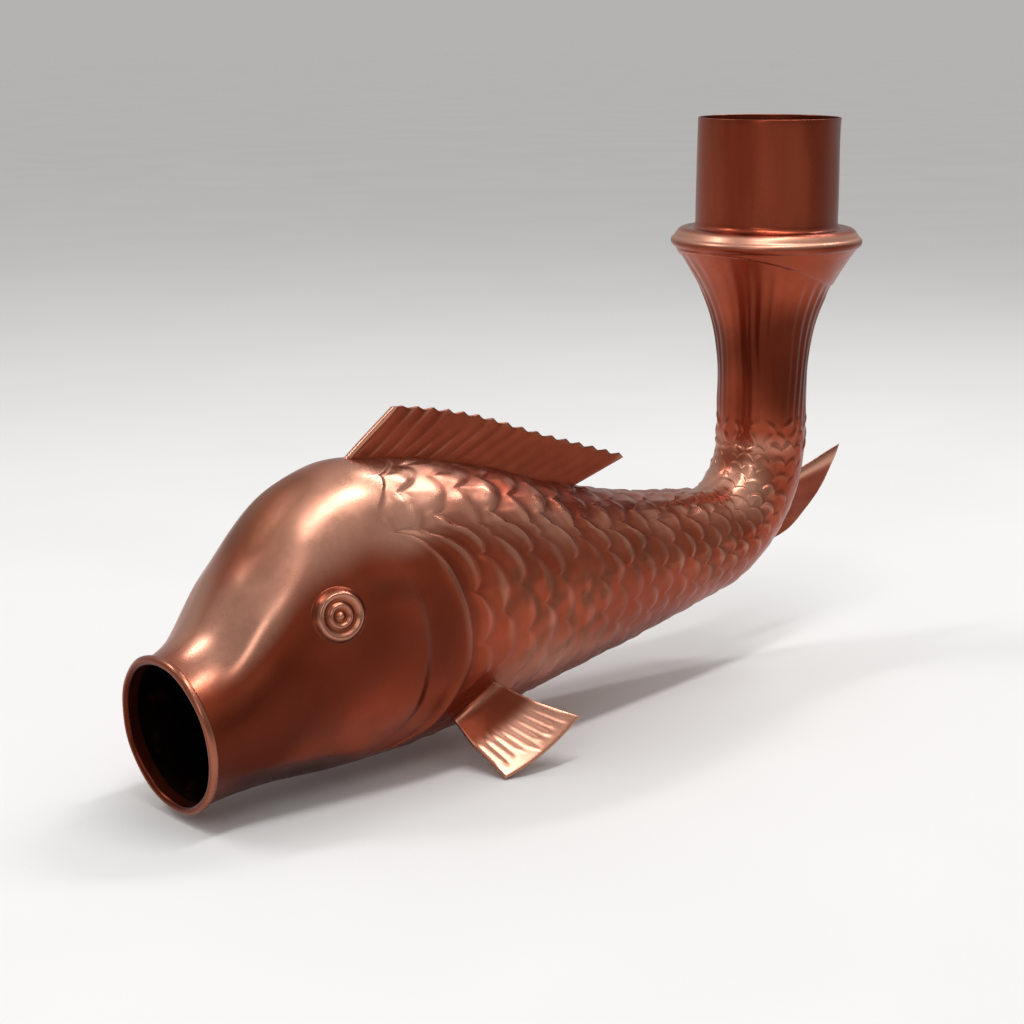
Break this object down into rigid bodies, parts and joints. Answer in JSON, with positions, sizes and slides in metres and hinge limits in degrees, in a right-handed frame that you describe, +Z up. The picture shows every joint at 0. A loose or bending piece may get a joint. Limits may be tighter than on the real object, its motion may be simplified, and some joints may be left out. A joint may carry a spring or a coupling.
{
  "type": "fish-shaped gutter spout",
  "caption": "Copper gutter spout shaped as a carp: water enters the collar at the top, turns through the ribbed tail and leaves by the round mouth.",
  "frame": {"origin": "centre of the collar's top rim, on the axis of the inlet bore", "axes": "+Z up along the inlet axis, -X toward the fish's head, the fish symmetric about the XZ plane"},
  "size_m": [0.619, 0.1836, 0.3956],
  "materials": {
    "body_copper": "pressed copper sheet, satin with polished high spots",
    "collar_copper": "drawn copper tube, satin with faint lengthwise marks",
    "rim_copper": "rolled and turned copper, polished on the edges",
    "fin_copper": "pressed copper sheet, satin"
  },
  "bodies": {
    "root": {"inlet_collar": "collar_copper", "body_left": "body_copper", "body_right": "body_copper", "mouth_rim": "rim_copper", "eye_left": "rim_copper", "eye_right": "rim_copper", "dorsal_fin": "fin_copper", "anal_fin": "fin_copper", "pectoral_fin_left": "fin_copper", "pectoral_fin_right": "fin_copper"}
  },
  "joints": []
}
